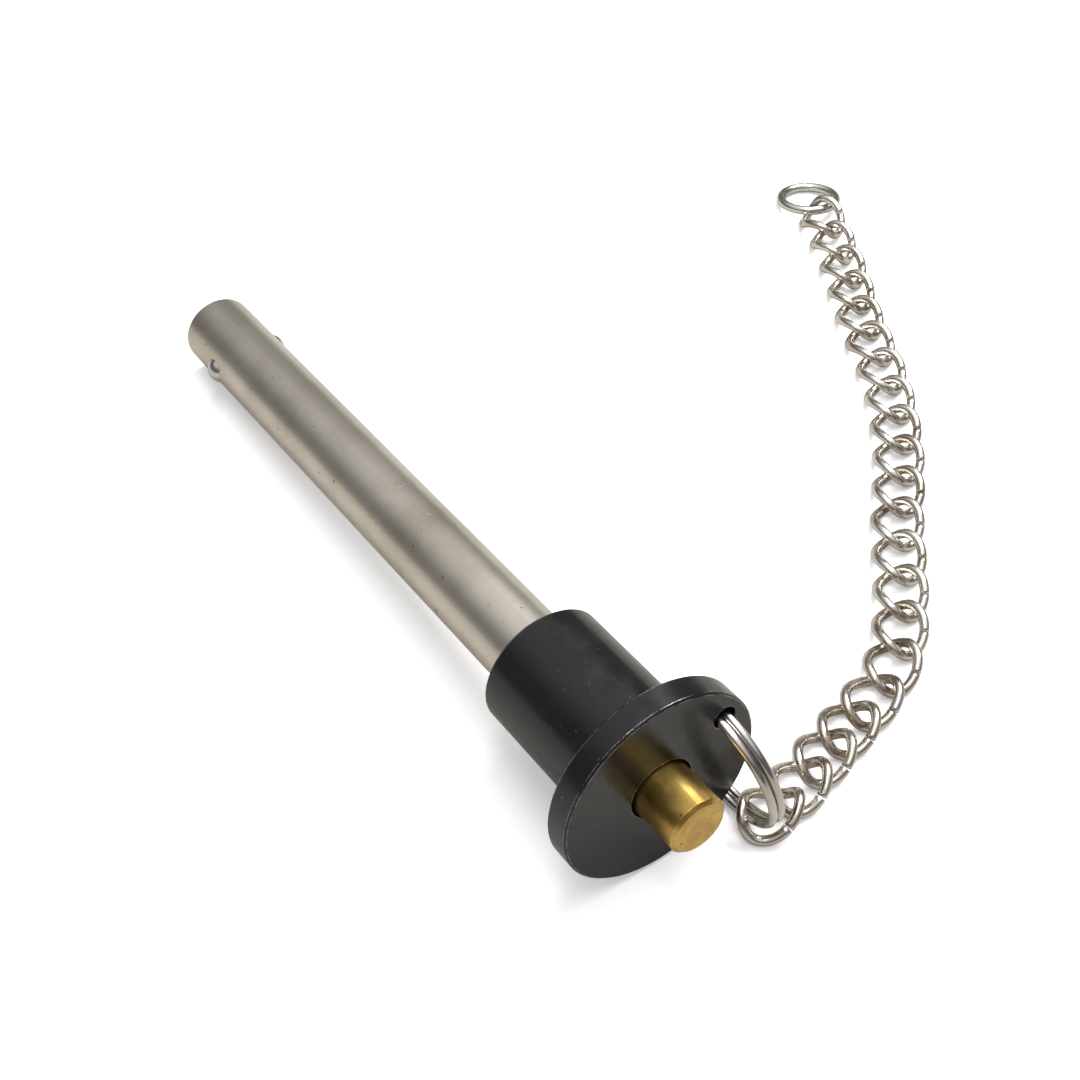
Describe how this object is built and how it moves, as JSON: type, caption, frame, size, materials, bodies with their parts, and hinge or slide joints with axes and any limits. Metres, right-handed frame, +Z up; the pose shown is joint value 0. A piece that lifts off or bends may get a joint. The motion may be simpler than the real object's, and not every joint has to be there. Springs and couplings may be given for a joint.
{
  "type": "ball lock pin",
  "caption": "Push-button ball lock pin with a flanged handle, split ring and curb chain ending in a plain ring.",
  "frame": {"origin": "on the pin's axis, in the plane of the collar's end face, which seats against the work", "axes": "+Z up from the floor the pin lies on; the pin's axis lies in the XZ plane and falls about 4.3 degrees below +X towards the tip; the chain lies to the -Y side"},
  "size_m": [0.134, 0.1349, 0.0302],
  "materials": {
    "black": "satin black anodised, bright worn edges",
    "nickel": "satin turned",
    "steel": "machined",
    "brass": "turned, end face with tool marks",
    "chrome": "polished",
    "ring": "bright wire",
    "chain": "nickel plated wire"
  },
  "bodies": {
    "pin_body": {"handle": "black", "shank": "nickel", "spring": "steel"},
    "plunger": {"button": "brass", "spindle": "steel"},
    "ball_left": {"ball_left": "chrome"},
    "ball_right": {"ball_right": "chrome"},
    "split_ring": {"split_ring": "ring"},
    "link_01": {"link_01": "chain"},
    "link_02": {"link_02": "chain"},
    "link_03": {"link_03": "chain"},
    "link_04": {"link_04": "chain"},
    "link_05": {"link_05": "chain"},
    "link_06": {"link_06": "chain"},
    "link_07": {"link_07": "chain"},
    "link_08": {"link_08": "chain"},
    "link_09": {"link_09": "chain"},
    "link_10": {"link_10": "chain"},
    "link_11": {"link_11": "chain"},
    "link_12": {"link_12": "chain"},
    "link_13": {"link_13": "chain"},
    "link_14": {"link_14": "chain"},
    "link_15": {"link_15": "chain"},
    "link_16": {"link_16": "chain"},
    "link_17": {"link_17": "chain"},
    "link_18": {"link_18": "chain"},
    "link_19": {"link_19": "chain"},
    "link_20": {"link_20": "chain"},
    "link_21": {"link_21": "chain"},
    "end_ring": {"end_ring": "ring"}
  },
  "joints": [
    {"name": "plunger_press", "type": "slide", "parent": "pin_body", "child": "plunger", "axis": [0.9972, 0, -0.0746], "range_m": [0, 0.0035], "stiffness_N_per_m": 2500, "springref_m": -0.002, "deforming": ["spring"]},
    {"name": "ball_left_drop", "type": "slide", "parent": "pin_body", "child": "ball_left", "axis": [0, -1, 0], "range_m": [0, 0.00105]},
    {"name": "ball_right_drop", "type": "slide", "parent": "pin_body", "child": "ball_right", "axis": [0, 1, 0], "range_m": [0, 0.00105]},
    {"name": "ring_swing", "type": "hinge", "parent": "pin_body", "child": "split_ring", "pos_m": [-0.02388, -0.00995, 0.00852], "axis": [-0.9972, 0, 0.0746], "range_deg": [0, 120]},
    {"name": "link_01_turn", "type": "hinge", "parent": "split_ring", "child": "link_01", "pos_m": [-0.03106, -0.01342, -0.01039], "axis": [0.7963, -0.0975, -0.597], "range_deg": [-10, 20]},
    {"name": "link_02_turn", "type": "hinge", "parent": "link_01", "child": "link_02", "pos_m": [-0.03083, -0.01886, -0.01089], "axis": [0.6142, 0.0429, -0.788], "range_deg": [-16, 16]},
    {"name": "link_03_turn", "type": "hinge", "parent": "link_02", "child": "link_03", "pos_m": [-0.02894, -0.02488, -0.011], "axis": [-0.6915, -0.1983, -0.6947], "range_deg": [-16, 16]},
    {"name": "link_04_turn", "type": "hinge", "parent": "link_03", "child": "link_04", "pos_m": [-0.02721, -0.03094, -0.01111], "axis": [-0.6915, -0.1983, 0.6947], "range_deg": [-16, 16]},
    {"name": "link_05_turn", "type": "hinge", "parent": "link_04", "child": "link_05", "pos_m": [-0.02547, -0.037, -0.01123], "axis": [0.7777, 0.223, 0.5878], "range_deg": [-16, 16]},
    {"name": "link_06_turn", "type": "hinge", "parent": "link_05", "child": "link_06", "pos_m": [-0.02371, -0.04357, -0.01129], "axis": [0.7777, 0.223, -0.5878], "range_deg": [-14, 14]},
    {"name": "link_07_turn", "type": "hinge", "parent": "link_06", "child": "link_07", "pos_m": [-0.02006, -0.0499, -0.01129], "axis": [-0.582, -0.562, -0.5878], "range_deg": [-14, 14]},
    {"name": "link_08_turn", "type": "hinge", "parent": "link_07", "child": "link_08", "pos_m": [-0.01492, -0.05508, -0.01129], "axis": [-0.582, -0.562, 0.5878], "range_deg": [-16, 16]},
    {"name": "link_09_turn", "type": "hinge", "parent": "link_08", "child": "link_09", "pos_m": [-0.00959, -0.06005, -0.01129], "axis": [0.52, 0.6197, 0.5878], "range_deg": [-16, 16]},
    {"name": "link_10_turn", "type": "hinge", "parent": "link_09", "child": "link_10", "pos_m": [-0.00398, -0.06469, -0.01129], "axis": [0.52, 0.6197, -0.5878], "range_deg": [-16, 16]},
    {"name": "link_11_turn", "type": "hinge", "parent": "link_10", "child": "link_11", "pos_m": [0.00134, -0.06966, -0.01129], "axis": [-0.582, -0.562, -0.5878], "range_deg": [-16, 16]},
    {"name": "link_12_turn", "type": "hinge", "parent": "link_11", "child": "link_12", "pos_m": [0.00636, -0.07494, -0.01129], "axis": [-0.582, -0.562, 0.5878], "range_deg": [-16, 16]},
    {"name": "link_13_turn", "type": "hinge", "parent": "link_12", "child": "link_13", "pos_m": [0.01177, -0.07981, -0.01129], "axis": [0.4981, 0.6375, 0.5878], "range_deg": [-16, 16]},
    {"name": "link_14_turn", "type": "hinge", "parent": "link_13", "child": "link_14", "pos_m": [0.01751, -0.08429, -0.01129], "axis": [0.4981, 0.6375, -0.5878], "range_deg": [-16, 16]},
    {"name": "link_15_turn", "type": "hinge", "parent": "link_14", "child": "link_15", "pos_m": [0.02354, -0.08836, -0.01129], "axis": [-0.4045, -0.7006, -0.5878], "range_deg": [-16, 16]},
    {"name": "link_16_turn", "type": "hinge", "parent": "link_15", "child": "link_16", "pos_m": [0.02985, -0.09201, -0.01129], "axis": [-0.4045, -0.7006, 0.5878], "range_deg": [-16, 16]},
    {"name": "link_17_turn", "type": "hinge", "parent": "link_16", "child": "link_17", "pos_m": [0.03642, -0.09514, -0.01129], "axis": [0.3922, 0.7076, 0.5878], "range_deg": [-16, 16]},
    {"name": "link_18_turn", "type": "hinge", "parent": "link_17", "child": "link_18", "pos_m": [0.04279, -0.09867, -0.01123], "axis": [0.3922, 0.7076, -0.5878], "range_deg": [-16, 16]},
    {"name": "link_19_turn", "type": "hinge", "parent": "link_18", "child": "link_19", "pos_m": [0.04894, -0.10258, -0.01111], "axis": [-0.3487, -0.6291, -0.6947], "range_deg": [-16, 16]},
    {"name": "link_20_turn", "type": "hinge", "parent": "link_19", "child": "link_20", "pos_m": [0.05531, -0.10611, -0.011], "axis": [-0.3487, -0.6291, 0.6947], "range_deg": [-16, 16]},
    {"name": "link_21_turn", "type": "hinge", "parent": "link_20", "child": "link_21", "pos_m": [0.06185, -0.1093, -0.01073], "axis": [0.2904, 0.6841, 0.6691], "range_deg": [-12, 12]},
    {"name": "end_ring_turn", "type": "hinge", "parent": "link_21", "child": "end_ring", "pos_m": [0.06774, -0.11177, -0.01051], "axis": [0.1834, 0.4322, -0.8829], "range_deg": [-12, 12]}
  ],
  "couplings": [
    {"joint": "ball_left_drop", "follows": "plunger_press", "ratio": 0.3},
    {"joint": "ball_right_drop", "follows": "plunger_press", "ratio": 0.3}
  ]
}
